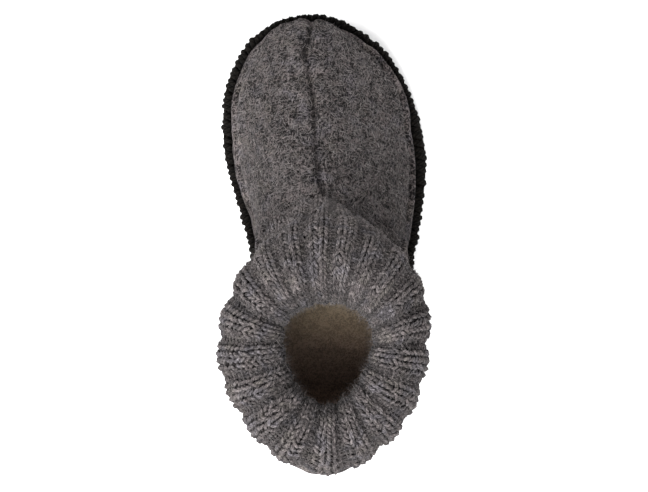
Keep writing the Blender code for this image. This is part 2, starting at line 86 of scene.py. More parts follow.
SEAM_LAP = 3.4 * MM  # how far the knit starts below the felt's cut edge
NECK_ALONG = 2.5 * MM  # from the lap up along the felt, and then straight up, before the knit puffs out
NECK_UP = 1.5 * MM

# The rib knit: two knit and two purl stitches to a rib
RIB_TURNS = (
    # directions of the ribs' crowns, in degrees clockwise from the toe
    *(-38, -22, -5, 10, 26, 42, 58.3, 77.7, 98.2, 116.7),
    *(136, 154.8, 179.1, 204.8, 226, 246.8, 264.9, 284.2, 305.7),
)
RIBS = len(RIB_TURNS)
COURSES = 35
FIRST_COURSE = 0.35  # place of the first one, in courses
YARN = 0.86 * MM  # radius
LEAST_YARN = 0.62 * MM
YARN_FILL = 0.26  # radius of the yarn between the two, in stitch widths
LOOP_HEIGHT = 0.92  # half the height of a loop, in courses
LOOP_OVERLAP = 0.26  # how far a loop's legs lean, in stitch widths
LOOP_DEPTH = 1.0  # how far legs lie before heads, in yarn radii
STITCH_SPREADS = (0.13, 0.25, 0.08, 0.14, 0.28 * MM, 0.09)  # in height, lean, shift, lift, depth, tone
SWAY = 0.045  # how far ribs wander sideways, in ribs
WANDER = 0.32  # how far courses wander up and down, in courses
PUFF = 0.6 * MM  # how far the knit swells and sinks
STEPS = 12  # points along each stitch
YARN_SIDES = 5
YARN_TOP_PAINTED_LIGHT = 0.12  # painted light on a yarn's top: what it adds to the height that the material reads
KNIT_PROFILE = (
    # place from seam to hem, level of a rib's crown in mm, depth between ribs in mm
    (0.00, -1.7, 0.4),
    (0.07, -1.0, 0.9),
    (0.16, -0.2, 1.9),
    (0.30, 0.5, 2.9),
    (0.52, 0.4, 2.9),
    (0.68, -0.1, 2.3),
    (0.80, -0.9, 1.7),
    (1.00, -1.0, 1.4),
)
RIB_SHAPE = 2.4  # power of the fall from a rib's crown to the valley beside it
RIB_SPACINGS = (11, 20)  # degrees between ribs that would have no depth and full depth
RIB_DEPTHS = (0.45, 1.1)  # the depth stays between these parts of the full one
INNER_SHADE = (0.62, 0.84)  # painted shade darkens the knit between these places, where it turns down into the opening
INNER_PAINTED_SHADE = 0.22  # by this much, in the height that the material reads
KNIT_SHARE = ((9.0, 14.0, 21.0), (0.74, 0.70, 0.64))  # rib widths in mm, the part that knit stitches take
BACKING_DEPTH = 1.25 * MM  # how far the backing lies behind the middle of the sunken yarn
BACKING_START = 0.035  # it starts level with the yarn, in the felt, and is that deep from this place on
BACKING_WALL = 0.9 * MM

# The seam down the vamp, its puckers and the rim, in mm
SEAM_LINE = (
    # side, along
    *((-6.0, 111.1), (-8.7, 95.0), (-6.8, 82.0), (-5.2, 65.6)),
    *((-4.5, 48.2), (-2.5, 36.0), (-1.8, 28.0), (-1.9, 20.0)),
)
SEAM_GROOVE, SEAM_WIDTH = 1.7, 0.85
SEAM_SWELL = (0.85, 4.8, 2.4)  # height, distance from the seam, width
PUCKER_SIZE = 4.6
PUCKER_PAINTED_LIGHT, PUCKER_PLACE = 0.07, (4.6, 2)  # painted light and shade on the puckers, distance from the seam and width
VAMP_START = (16, 22)  # the vamp's own relief fades in between these places along
THROAT_CREASES = (
    # ends of the two short creases where the seam meets the knit: side, along, side, along
    (-11.6, 20.6, -2.4, 23.6),
    (1.6, 22.4, 9.6, 18.2),
)
CREASE_DEPTH, CREASE_WIDTH = 0.9, 0.62
RIM_RIDGE = (0.80, 0.9, 0.8)  # height, distance from the felt's outer edge, width
RIM_GROOVE = (1.25, 2.0, 0.5)  # depth, distance, width
RIM_SWELL = (3.0, 1.1)  # distance and width of a band of painted light along the rim
RIM_HEIGHTS = (13, 16)  # the ridge and the groove come in between these heights
TOE_NOTCH = (1.5, 1.0)  # depth and width where the seam meets the edge
FELT_LUMPS = (
    # height in mm, how wide in mm, seed
    (0.45, 16, 11),
    (0.36, 5.5, 12),
    (0.16, 2.1, 13),
)
FELT_PATCHES = (
    # change of tone, how wide in mm, seed
    (0.05, 9, 17),
    (0.05, 3.6, 18),
)
SEAM_PAINTED_SHADE, CREASE_PAINTED_SHADE, GROOVE_PAINTED_SHADE = -0.27, -0.45, -0.26  # painted shade in the seam's groove, in the throat's creases and in the rim's groove
THROAT_PAINTED_SHADE, THROAT_PLACE = -0.10, (34, 16)  # painted shade on the vamp near the throat, place along and width
HEEL_PAINTED_LIGHT, HEEL_START = 0.26, (88, 108)  # painted light on the heel's back, which comes in between these distances back
WALL_HEIGHTS = (13, 21)  # where the felt's wall stands over the stitched edge
WALL_SHOVE = (-1.6, 4.5)  # the felt's wall moves in and out by this at most, to meet the edge's width

# The black edge, by direction from the middle of the ball
EDGE_CENTRE = (-2 * MM, 58 * MM)
EDGE_WIDTHS = (
    # direction in degrees clockwise from the toe, width seen from above in mm
    *((-180, 4.8), (-150, 4.4), (-120, 4.2), (-100, 5.4), (-85, 5.5), (-68, 5.2), (-45, 5.3), (-34, 4.3)),
    *((-21, 1.4), (-12, 1.9), (5, 2.1), (13, 2.3), (20, 3.0), (28, 4.3), (36, 3.9), (55, 3.5)),
    *((70, 3.5), (84, 5.0), (92, 6.6), (104, 6.1), (118, 5.6), (140, 5.1), (160, 5.0)),
)
EDGE_SHIFTS = (
    # direction in degrees clockwise from the toe, how far the edge draws in there in mm
    *((-170, 0.0), (-120, 0.4), (-100, 0.0), (-72, -0.3), (-50, 0.8), (-35, 0.3), (-15, -0.25), (3, -0.25)),
    *((12, 0.2), (20, 1.1), (30, 1.2), (42, 0.6), (60, 0.2), (90, -0.4), (110, -0.4), (140, 0.0)),
)
EDGE_CUTS, EDGE_PLACES = 900, 4000  # how finely the outline is read from the solid, and kept
CORE_SINK = 0.25 * MM  # how far the core lies inside the solid's own face
STITCH_PITCH = 3.3 * MM
EDGE_YARN = 1.35 * MM  # radius
WHIP_LOOP = (
    # inset in band widths, inset in mm, height in mm over the top (1) or the bottom (0), lead in pitches
    (1.0, 0.9, -1.6, 1, -0.62),
    (1.0, -0.2, 0.0, 1, -0.55),
    (0.7, 0.0, 0.75, 1, -0.40),
    (0.35, 0.2, 0.70, 1, -0.20),
    (0.0, 1.2, -0.2, 1, -0.05),
    (0.0, 0.75, -2.4, 1, 0.05),
    (0.0, 0.75, 3.6, 0, 0.15),
    (0.0, 1.5, 1.55, 0, 0.25),
    (0.4, 1.2, 1.35, 0, 0.40),
    (0.9, 0.5, 1.60, 0, 0.50),
    (1.0, 0.8, 3.6, 0, 0.30),
)
WHIP_SPREADS = (0.14, 0.05, 0.28 * MM, 0.09)  # in place, reach, bulge and thickness
WHIP_STEPS, WHIP_SIDES = 24, 7

# Hairs, in mm
BENT_HAIR = 2.6  # hairs longer than this are bent
CUFF_HAIRS, FELT_HAIRS = 24000, 18000
FUZZ_SHARE = 0.45  # of the cuff's hairs, how many are short fuzz
FUZZ_LENGTHS = (0.8, 1.7)
LONGEST_HAIR = 6.5
FUZZ_RADIUS, CUFF_HAIR_RADIUS, FELT_HAIR_RADIUS = 0.070, 0.055, 0.085
CUFF_HAIR_SPREAD = 0.65  # how far they stray from straight out
CUFF_HAIR_LEANS = (0.2, 1.8)  # along the yarn, for 1 out of it
FELT_HAIR_RISES = (0.02, 0.40)  # out of the felt, for 1 along it
CUFF_HAIR_SAG, FELT_HAIR_SAG = 0.35, 0.30  # in hair lengths

# Linear colours, each from dark over middle to light
GREY_YARN = ((0.0065, 0.0056, 0.0056), (0.0345, 0.0305, 0.0305), (0.110, 0.0985, 0.0970))
GREY_FELT = ((0.0016, 0.0013, 0.0013), (0.0105, 0.0091, 0.0091), (0.080, 0.0700, 0.0690))
BLACK_WOOL = ((0.0004, 0.0003, 0.0003), (0.0022, 0.0019, 0.0016), (0.0105, 0.0090, 0.0078))
OLIVE_FELT = ((0.145, 0.113, 0.076), (0.195, 0.152, 0.103), (0.250, 0.197, 0.136))
HAIR_TONES = ((0.003, 0.0025, 0.0025), (0.185, 0.166, 0.162))
RUBBER_TONES = ((0.012, 0.012, 0.013), (0.030, 0.029, 0.028))
# The knit's wrong side, seen through the gaps, is painted in shade at this part of the yarn's colours
BACKING_PAINTED_SHADE = 0.45
INSOLE_PAINTED_LIGHT = (
    # place along in mm, how much of the insole's colour shows there: painted light at the arch, painted shade
    # at the heel
    (-78, (0.85, 0.70, 0.74)),
    (-69, (0.51, 0.44, 0.48)),
    (-60, (0.88, 0.78, 0.86)),
    (-50, (1.45, 1.32, 1.45)),
    (-42, (1.24, 1.18, 1.22)),
    (-30, (1.0, 1.0, 1.0)),
)

CAMERA_HEIGHT = 1.2  # metres
CAMERA_LENS = 133.3  # millimetres
SKY = 1.3
LIGHTS = (
    # name, place in metres, side of the square in metres, power in watts
    ("heel side", (-0.15, -0.82, 1.28), 0.85, 46.0),
    ("left side", (-1.3, 0.1, 0.9), 1.0, 30.0),
)


def ease(value, start=0, end=1):
    """Nothing up to the start, one from the end on, and smooth between."""
    value = np.clip((value - start) / (end - start), 0, 1)
    return value * value * (3 - 2 * value)


def bell(value, centre, width):
    return np.exp(-0.5 * ((value - centre) / width) ** 2)


def unit(vectors):
    return vectors / np.linalg.norm(vectors, axis=-1, keepdims=True)


def along(first, second):
    """How far each of the first vectors points along the second one."""
    return (first * second).sum(-1, keepdims=True)


def smooth_round(values, width):
    """Values on a closed ring, smoothed over about width samples to each side."""
    reach = int(3 * width)
    shifts = np.arange(-reach, reach + 1)
    weights = bell(shifts, 0, width)
    weights /= weights.sum()
    return sum(weight * np.roll(values, shift, axis=0) for shift, weight in zip(shifts, weights))


def value_noise(points, size, seed=0):
    """Smooth noise from -1 to 1 at points, whose features measure about size."""
    places = np.asarray(points) / size + 17.3 * seed
    cell = np.floor(places).astype(np.int64)
    part = ease(places - cell)
    total = 0.0
    for corner in range(8):
        step = np.array([corner & 1, corner >> 1 & 1, corner >> 2 & 1])
        key = (cell + step) @ np.array([73856093, 19349663, 83492791]) + 7919 * seed
        value = np.modf(np.abs(np.sin(key % 104729 * 12.9898)) * 43758.5453)[0] * 2 - 1
        weight = np.prod(np.where(step == 1, part, 1 - part), axis=-1)
        total = total + weight * value
    return total


def layered_noise(points, layers):
    return sum(amount * value_noise(points, size, seed) for amount, size, seed in layers)


def curve_through(points, slopes, knots, places):
    """Places read from the smooth curve that passes through points at its knots, with these slopes there."""
    found = []
    for place in places:
        index = min(int(np.searchsorted(knots, place, "right")) - 1, len(knots) - 2)
        width = knots[index + 1] - knots[index]
        part = (place - knots[index]) / width
        found.append(
            points[index] * (2 * part**3 - 3 * part**2 + 1)
            + slopes[index] * width * (part**3 - 2 * part**2 + part)
            + points[index + 1] * (3 * part**2 - 2 * part**3)
            + slopes[index + 1] * width * (part**3 - part**2)
        )
    return np.array(found)


def round_path(path, count):
    """A smooth closed path through the given points."""
    step = np.linalg.norm(np.roll(path, -1, 0) - path, axis=1)
    knots = np.concatenate([[0], np.cumsum(step)])
    slopes = (np.roll(path, -1, 0) - np.roll(path, 1, 0)) / (np.roll(step, 1) + step)[:, None]
    closed = [np.vstack([rows, rows[:1]]) for rows in (path, slopes)]
    return curve_through(*closed, knots, np.linspace(0, knots[-1], count, endpoint=False))


def by_direction(table, across, ahead):
    """What a table of directions and millimetres gives for each place, seen from the middle of the ball."""
    turn = np.degrees(np.arctan2(across - EDGE_CENTRE[0], ahead - EDGE_CENTRE[1]))
    degrees, sizes = zip(*table)
    return np.interp(turn, degrees, sizes, period=360) * MM


# Meshes


def node_mesh(name):
    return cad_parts[name].data


def read_points(mesh, what="co"):
    values = np.empty(len(mesh.vertices) * 3)
    mesh.vertices.foreach_get(what, values)
    return values.reshape(-1, 3)


def slices(name, centre, directions):
    """Where half planes on the vertical line through centre cut a node: outward distances and heights."""
    mesh = node_mesh(name)
    points = read_points(mesh)
    edges = np.empty(len(mesh.edges) * 2, np.int64)
    mesh.edges.foreach_get("vertices", edges)
    edges = edges.reshape(-1, 2)
    flat = points[:, :2] - centre
    found = []
    for direction in directions:
        out = flat @ np.array([math.sin(direction), math.cos(direction)])
        side = flat @ np.array([math.cos(direction), -math.sin(direction)])
        start, end = edges[(side[edges[:, 0]] > 0) != (side[edges[:, 1]] > 0)].T
        part = side[start] / (side[start] - side[end])
        distance = out[start] + part * (out[end] - out[start])
        height = points[start, 2] + part * (points[end, 2] - points[start, 2])
        found.append((distance[distance > 0], height[distance > 0]))
    return found


def new_object(name, data):
    made = bpy.data.objects.new(name, data)
    bpy.context.scene.collection.objects.link(made)
    return made


def solid_copy(name, voxel, smoothing):
    """Points, normals and mesh of a CAD node made smooth and even."""
    piece = new_object("copy", node_mesh(name).copy())
    weld = piece.modifiers.new("weld", "WELD")
    weld.merge_threshold = 0.01 * MM
    remesh = piece.modifiers.new("remesh", "REMESH")
    remesh.mode = "VOXEL"
    remesh.voxel_size = voxel
    smooth = piece.modifiers.new("smooth", "SMOOTH")
    smooth.factor = 0.5
    smooth.iterations = smoothing
    bpy.context.view_layer.update()
    evaluated = piece.evaluated_get(bpy.context.evaluated_depsgraph_get())
    mesh = bpy.data.meshes.new_from_object(evaluated)
    bpy.data.objects.remove(piece)
    return read_points(mesh), read_points(mesh, "normal"), mesh


def add_heights(mesh, heights):
    """Gives each point the number that the materials read as its height or tone."""
    layer = mesh.attributes.new("height", "FLOAT", "POINT")
    layer.data.foreach_set("value", np.asarray(heights, np.float32))


def reshape(mesh, name, points):
    mesh.vertices.foreach_set("co", points.ravel())
    mesh.update()
    mesh.shade_smooth()
    mesh.name = name


def mesh_from(name, points, faces, uvs=None, heights=None):
    mesh = bpy.data.meshes.new(name)
    size = faces.shape[1]
    mesh.vertices.add(len(points))
    mesh.vertices.foreach_set("co", np.asarray(points, np.float32).ravel())
    mesh.loops.add(faces.size)
    mesh.loops.foreach_set("vertex_index", faces.astype(np.int32).ravel())
    mesh.polygons.add(len(faces))
    mesh.polygons.foreach_set("loop_start", np.arange(0, faces.size, size, dtype=np.int32))
    mesh.update(calc_edges=True)
    if uvs is not None:
        layer = mesh.uv_layers.new(name="yarn")
        layer.data.foreach_set("uv", np.asarray(uvs, np.float32).ravel())
    if heights is not None:
        add_heights(mesh, heights)
    mesh.validate()
    mesh.shade_smooth()
    return mesh


def dress(mesh, material):
    mesh.materials.clear()
    mesh.materials.append(material)


def link(mesh, name, material):
    """A piece from a mesh, riding on the slipper's one body."""
    piece = new_object(name, mesh)
    dress(mesh, material)
    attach(piece, "root")
    return piece


def grid_faces(rows, columns):
    """Faces of a grid of points that closes on itself both ways."""
    i, j = np.arange(rows)[:, None], np.arange(columns)[None, :]
    i2, j2 = (i + 1) % rows, (j + 1) % columns
    corners = (i * columns + j, i * columns + j2, i2 * columns + j2, i2 * columns + j)
    return np.stack(corners, -1).reshape(-1, 4)


def tubes(paths, guides, radii, sides, lifts=None):
    """Points, faces, UVs and heights of round yarns that run in closed loops. Guides are directions that each
    yarn's rings are set out from, and lifts are heights of its middle."""
    all_points, all_faces, all_uvs, all_heights, base = [], [], [], [], 0
    turn = np.arange(sides) * 2 * math.pi / sides
    for number, (path, guide, radius) in enumerate(zip(paths, guides, radii)):
        count = len(path)
        tangent = unit(np.roll(path, -1, 0) - np.roll(path, 1, 0))
        step = np.linalg.norm(np.roll(path, -1, 0) - path, axis=1)
        first = unit(guide - along(guide, tangent) * tangent)
        second = np.cross(tangent, first)
        ring = first[:, None] * np.cos(turn)[:, None] + second[:, None] * np.sin(turn)[:, None]
        radius = np.broadcast_to(radius, (count,))
        all_points.append((path[:, None] + ring * radius[:, None, None]).reshape(-1, 3))
        if lifts is not None:
            # Painted light on each yarn's top, through the height
            all_heights.append((lifts[number][:, None] + YARN_TOP_PAINTED_LIGHT * np.cos(turn)).ravel())
        all_faces.append(base + grid_faces(count, sides))
        length = np.concatenate([[0], np.cumsum(step)]) / MM
        side = np.arange(sides)[None, :]
        low, high = length[:-1][:, None] + 0 * side, length[1:][:, None] + 0 * side
        near, far = (side + 0 * low) / sides, (side + 1 + 0 * low) / sides
        corners = [np.stack(pair, -1) for pair in ((low, near), (low, far), (high, far), (high, near))]
        all_uvs.append(np.stack(corners, axis=2).reshape(-1, 2))
        base += count * sides
    heights = np.concatenate(all_heights) if lifts is not None else None
    return np.concatenate(all_points), np.concatenate(all_faces), np.concatenate(all_uvs), heights


def hairs(name, roots, directions, lengths, radii, droop, seed):
    """Fine tapered hairs, each a closed spike: long ones in two bent pieces, short ones in one."""
    rng = np.random.default_rng(seed)
    count = len(roots)
    directions = unit(directions)
    across = unit(np.cross(directions, unit(rng.normal(size=(count, 3)))))
    other = np.cross(directions, across)
    sag = unit(rng.normal(size=(count, 3)))
    reach = lengths[:, None] * MM
    middle = roots + directions * reach * 0.5
    tip = roots + directions * reach * 0.85 + sag * reach * droop
    turn = np.arange(3) * 2 * math.pi / 3
    ring = across[:, None] * np.cos(turn)[:, None] + other[:, None] * np.sin(turn)[:, None]
    ring *= np.broadcast_to(radii, count)[:, None, None] * MM
    low = roots[:, None] + ring
    high = middle[:, None] + ring * 0.8
    tone = rng.uniform(0, 1, count) ** 1.3
    bent = lengths > BENT_HAIR
    long_points = np.concatenate([low[bent], high[bent], tip[bent, None]], axis=1)
    short_points = np.concatenate([low[~bent], tip[~bent, None]], axis=1)
    long_faces, short_faces = [(2, 1, 0)], [(2, 1, 0)]
    for a in range(3):
        b = (a + 1) % 3
        long_faces += [(a, b, 3 + b), (a, 3 + b, 3 + a), (3 + a, 3 + b, 6)]
        short_faces.append((a, b, 3))
    points, faces, tones, base = [], [], [], 0
    for spikes, pattern, shades in (
        (long_points, long_faces, tone[bent]),
        (short_points, short_faces, tone[~bent]),
    ):
        size = spikes.shape[1]
        starts = base + size * np.arange(len(spikes))
        faces.append((starts[:, None, None] + np.array(pattern)[None]).reshape(-1, 3))
        points.append(spikes.reshape(-1, 3))
        tones.append(np.repeat(shades, size))
        base += size * len(spikes)
    return mesh_from(name, np.concatenate(points), np.concatenate(faces), heights=np.concatenate(tones))


# Materials


def grey(value):
    return (value, value, value)


class Paint:
    """A material, with short ways to add nodes to it. What a node takes may be a number or a socket."""

    def __init__(self, name, roughness, sheen=0.0, specular=0.05):
        self.material = bpy.data.materials.new(name)
        self.material.use_nodes = True
        self.nodes = self.material.node_tree.nodes
        self.shader = self.nodes["Principled BSDF"]
        self.feed(self.shader, "Roughness", roughness)
        self.feed(self.shader, "Specular IOR Level", specular)
        self.feed(self.shader, "Sheen Weight", sheen)
        self.feed(self.shader, "Sheen Roughness", 0.6)

    def feed(self, node, socket, value):
        if isinstance(value, bpy.types.NodeSocket):
            self.material.node_tree.links.new(value, node.inputs[socket])
        else:
            node.inputs[socket].default_value = value

    def add(self, kind, inputs, output=0, **settings):
        """An output of a new node."""
        node = self.nodes.new(kind)
        for name, value in settings.items():
            setattr(node, name, value)
        for socket, value in inputs.items():
            self.feed(node, socket, value)
        return node.outputs[output]

    def place(self):
        return self.add("ShaderNodeTexCoord", {}, "Object")

    def part(self, vector, axis):
        return self.add("ShaderNodeSeparateXYZ", {0: vector}, axis)

    def height(self):
        return self.add("ShaderNodeAttribute", {}, "Fac", attribute_name="height")

    def calc(self, operation, first, second=0.0):
        return self.add("ShaderNodeMath", {0: first, 1: second}, operation=operation)

    def weighed(self, first, share, second):
        """Two values, the first one for its share and the second for the rest."""
        return self.calc("ADD", self.calc("MULTIPLY", first, share), self.calc("MULTIPLY", second, 1 - share))

    def times(self, colour, other, amount=1.0):
        inputs = {0: amount, 6: colour, 7: other}
        return self.add("ShaderNodeMix", inputs, 2, data_type="RGBA", blend_type="MULTIPLY")

    def ramp(self, value, stops):
        """Colours over a value. Each stop is a place and a linear colour."""
        node = self.nodes.new("ShaderNodeValToRGB")
        while len(node.color_ramp.elements) < len(stops):
            node.color_ramp.elements.new(0.5)
        for element, (place, colour) in zip(node.color_ramp.elements, stops):
            element.position = place
            element.color = (*colour, 1.0)
        self.feed(node, "Fac", value)
        return node.outputs["Color"]

    def noise(self, vector, scale, detail=2.0, roughness=0.5, distortion=0.0):
        inputs = {"Scale": scale, "Detail": detail, "Roughness": roughness, "Distortion": distortion}
        return self.add("ShaderNodeTexNoise", {"Vector": vector, **inputs}, "Fac")

    def fibres(self, length, width):
        """Short matted fibres that lie all ways, as noise drawn out along three directions."""
        found = None
        for turn, tilt in ((0.2, 0.3), (1.25, -0.4), (2.35, 0.5)):
            inputs = {
                "Vector": self.place(),
                "Rotation": (tilt, -tilt, turn),
                "Location": (turn, tilt, 0.0),
                "Scale": (length, width, width),
            }
            drawn = self.add("ShaderNodeMapping", inputs, "Vector", vector_type="TEXTURE")
            layer = self.noise(drawn, 1.0, 2.0, 0.6, distortion=0.4)
            found = layer if found is None else self.calc("MAXIMUM", found, layer)
        return found

    def heathered(self, colour, amount):
        """Faint violet, brown and green tints that drift through the wool."""
        stops = (
            (0.36, (0.93, 0.97, 1.14)),
            (0.46, (1.0, 1.0, 1.0)),
            (0.55, (1.05, 0.98, 1.00)),
            (0.66, (1.02, 1.01, 0.90)),
        )
        return self.times(colour, self.ramp(self.noise(self.place(), 130.0), stops), amount)

    def finish(self, colour, bumps=None, strength=1.0, distance=0.0):
        self.feed(self.shader, "Base Color", colour)
        if bumps is not None:
            inputs = {"Strength": strength, "Distance": distance, "Height": bumps}
            self.feed(self.shader, "Normal", self.add("ShaderNodeBump", inputs, "Normal"))
        return self.material


def yarn_material(name, tones, twist, shade, sheen, specular, tints):
    """Wool yarn: fibres and plies wind round it, read from its length and its way round. Shade is how dark
    painted shade makes the deepest yarn, by its height over the knit's face; the highest gets painted light."""
    paint = Paint(name, 0.95, sheen, specular)
    where = paint.add("ShaderNodeUVMap", {}, "UV", uv_map="yarn")
    length, way = paint.part(where, "X"), paint.part(where, "Y")
    angle = paint.calc("ADD", paint.calc("MULTIPLY", way, 2 * math.pi), paint.calc("MULTIPLY", length, twist))
    ring = {
        "X": paint.calc("COSINE", angle),
        "Y": paint.calc("SINE", angle),
        "Z": paint.calc("MULTIPLY", length, 0.5),
    }
    streaks = paint.noise(paint.add("ShaderNodeCombineXYZ", ring), 1.9, 4.0, 0.7)
    ply = paint.calc("ABSOLUTE", paint.calc("SINE", paint.calc("MULTIPLY", angle, 1.5)))
    value = paint.weighed(streaks, 0.62, paint.fibres(2.4 * MM, 0.55 * MM))
    colour = paint.ramp(value, list(zip((0.42, 0.515, 0.62), tones)))
    # Painted shade in the grooves between the plies
    painted_ply_shade = paint.ramp(ply, ((0.0, grey(0.5)), (0.45, grey(1.0))))
    colour = paint.times(colour, painted_ply_shade, 0.7)
    if shade:
        # Painted shade on sunken yarn and painted light on raised yarn
        sunk = paint.ramp(paint.height(), ((0.20, grey(shade)), (0.62, grey(1.0)), (0.90, grey(1.7))))
        colour = paint.times(colour, sunk)
    if tints:
        colour = paint.heathered(colour, tints)
    bumps = paint.calc("ADD", paint.calc("MULTIPLY", ply, 0.6), value)
    return paint.finish(colour, bumps, distance=0.5 * MM)


def felt_material(name, tones, sheen=0.0, tints=0.0, tone_and_painted_light=False, shades=()):
    """Boiled wool: matted fibres that lie all ways. A tone may be read at each point: random patches with
    painted light and shade. Shades paint light and shade: places along the sole in mm with how much of
    the colour shows there."""
    paint = Paint(name, 0.97, sheen, 0.0)
    blots = paint.noise(paint.place(), 170.0, 3.0, 0.55)
    value = paint.weighed(blots, 0.18, paint.fibres(3.0 * MM, 0.70 * MM))
    colour = paint.ramp(value, list(zip((0.505, 0.552, 0.610), tones)))
    if tone_and_painted_light:
        # The tone holds random patches and painted light and shade
        tone = paint.ramp(paint.height(), ((0.0, grey(0.25)), (0.5, grey(1.0)), (1.0, grey(2.3))))
        colour = paint.times(colour, tone)
    # Shades paint light and shade along the sole
    if shades:
        back, front = shades[0][0], shades[-1][0]
        inputs = {"Value": paint.part(paint.place(), "Y"), "From Min": back * MM, "From Max": front * MM}
        ahead = paint.add("ShaderNodeMapRange", inputs)
        stops = [((place - back) / (front - back), shade) for place, shade in shades]
        colour = paint.times(colour, paint.ramp(ahead, stops))
    if tints:
        colour = paint.heathered(colour, tints)
    return paint.finish(colour, value, distance=0.7 * MM)


def hair_material():
    """Single hairs, each darker or paler than the next."""
    paint = Paint("wool_hair", 0.8, 0.1)
    return paint.finish(paint.ramp(paint.height(), list(zip((0.0, 1.0), HAIR_TONES))))


def rubber_material():
    paint = Paint("rubber", 0.7, specular=0.4)
    wear = paint.noise(paint.place(), 60.0, 4.0, 0.6)
    rough = paint.calc("ADD", paint.calc("MULTIPLY", wear, 0.25), 0.58)
    paint.feed(paint.shader, "Roughness", rough)
    pebbles = paint.noise(paint.place(), 1400.0)
    return paint.finish(paint.ramp(wear, list(zip((0.35, 0.7), RUBBER_TONES))), pebbles, 0.5, 0.2 * MM)


# The cuff


def topline(directions):
    """The felt's upper edge in each direction from the cuff's middle, with its outward normal and rise."""
    rim = []
    for (distance, height), direction in zip(slices("upper", CUFF_CENTRE, directions), directions):
        best = np.argmax(height + 0.2 * distance)
        plan = CUFF_CENTRE + distance[best] * np.array([math.sin(direction), math.cos(direction)])
        rim.append((*plan, height[best]))
    rim = smooth_round(np.array(rim), 2.5)
    upper = node_mesh("upper")
    points = [vertex.co for vertex in upper.vertices]
    tree = BVHTree.FromPolygons(points, [tuple(face.vertices) for face in upper.polygons])
    outward = np.column_stack([np.sin(directions), np.cos(directions), -np.ones(len(directions))])
    normal = [tree.find_nearest(Vector(place))[1] for place in rim + outward * 2 * MM]
    normal = unit(smooth_round(np.array(normal), 4.0))
    rise = unit(np.cross(np.roll(rim, -1, 0) - np.roll(rim, 1, 0), normal))
    return rim, normal, rise * np.sign(rise[:, 2:])


def rib_directions(phase):
    """Directions of evenly spaced places counted in ribs all round, a rib's middle at each whole number."""
    plain = np.arange(RIBS + 1) * 360 / RIBS
    turns = np.append(RIB_TURNS, RIB_TURNS[0] + 360)
    uneven = np.interp(phase, np.arange(RIBS + 1), turns - plain)
    return np.radians(phase * 360 / RIBS + smooth_round(uneven, len(phase) / RIBS / 3))


def fold_ring(fold, directions):
    name, side, skew, half_width, taper, front, back, high_front, high_side, high_back = fold
    sine, cosine = np.sin(directions), np.cos(directions)
    reach = np.where(cosine > 0, front - CUFF_MIDDLE, CUFF_MIDDLE - back) * SOLE_LENGTH
    end = np.where(cosine > 0, high_front, high_back)
    height = high_side + (end - high_side) * cosine**2
    middle = side + skew * np.clip(cosine, 0, 1)
    across = AXIS_X + BALL_WIDTH * (middle + half_width * sine * (1 + taper * cosine))
    ring = np.column_stack([across, CUFF_CENTRE[1] + reach * cosine, height * CUFF_HEIGHT])
    if name in WIDEST_FOLDS:
        turns, moves = zip(*CUFF_TRIMS)
        out = np.interp(np.degrees(directions), turns, moves, period=360) * MM
        ring += np.column_stack([sine, cosine, 0 * sine]) * out[:, None]
    return ring


class Cuff:
    """The face of the cuff's knit between its ribs. Places run from 0 at the seam to 1 at the hem inside."""

    COLUMNS = RIBS * 16
    ROWS = 240

    def __init__(self):
        directions = rib_directions(np.arange(self.COLUMNS) * RIBS / self.COLUMNS)
        rim, normal, rise = topline(np.linspace(0, 2 * math.pi, 360, endpoint=False))
        across, ahead = (rim[:, :2] - CUFF_CENTRE).T
        reach = np.where(ahead > 0, ahead.max(), -ahead.min())
        angle = np.mod(np.arctan2(across / TOPLINE_HALF_WIDTH, ahead / reach), 2 * math.pi)
        order = np.argsort(angle)
        wanted = np.mod(directions, 2 * math.pi)

        def around(values):
            known = values[order].T
            columns = [np.interp(wanted, angle[order], part, period=2 * math.pi) for part in known]
            return smooth_round(np.column_stack(columns), 3.0)

        rim, normal, rise = around(rim), unit(around(normal)), unit(around(rise))
        seat = rim - rise * SEAM_LAP - normal * SEAM_STEP
        neck = seat + rise * NECK_ALONG + np.array([0.0, 0.0, NECK_UP])
        controls = np.array([seat, neck] + [fold_ring(fold, directions) for fold in CUFF_FOLDS])
        steps = np.linalg.norm(np.diff(controls, axis=0), axis=2).mean(axis=1)
        knots = np.concatenate([[0], np.cumsum(steps)])
        slopes = np.gradient(controls, knots, axis=0)
        self.face = curve_through(controls, slopes, knots, np.linspace(0, knots[-1], self.ROWS))
        round_step = np.roll(self.face, -1, 1) - np.roll(self.face, 1, 1)
        self.normal = unit(np.cross(np.gradient(self.face, axis=0), round_step))
        row = self.ROWS // 4
        outward = self.face[row, 0] - np.append(CUFF_CENTRE, CUFF_HEIGHT / 2)
        self.normal *= np.sign(self.normal[row, 0] @ outward)
        self.round = np.linalg.norm(round_step, axis=2).mean(axis=1) * self.COLUMNS / 2

    def at(self, phase, place):
        """Points and normals at places given in ribs round the cuff and in parts of the way up and over."""
        column = np.mod(phase * self.COLUMNS / RIBS, self.COLUMNS)
        row = np.clip(place, 0, 1) * (self.ROWS - 1.001)
        c0, r0 = np.floor(column).astype(int), np.floor(row).astype(int)
        cp, rp = (column - c0)[..., None], (row - r0)[..., None]
        c0, c1 = c0 % self.COLUMNS, (c0 + 1) % self.COLUMNS

        def read(grid):
            low = grid[r0, c0] * (1 - cp) + grid[r0, c1] * cp
            high = grid[r0 + 1, c0] * (1 - cp) + grid[r0 + 1, c1] * cp
            return low * (1 - rp) + high * rp

        return read(self.face), unit(read(self.normal))

    def rib_width(self, place):
        return np.interp(place, np.linspace(0, 1, self.ROWS), self.round) / RIBS


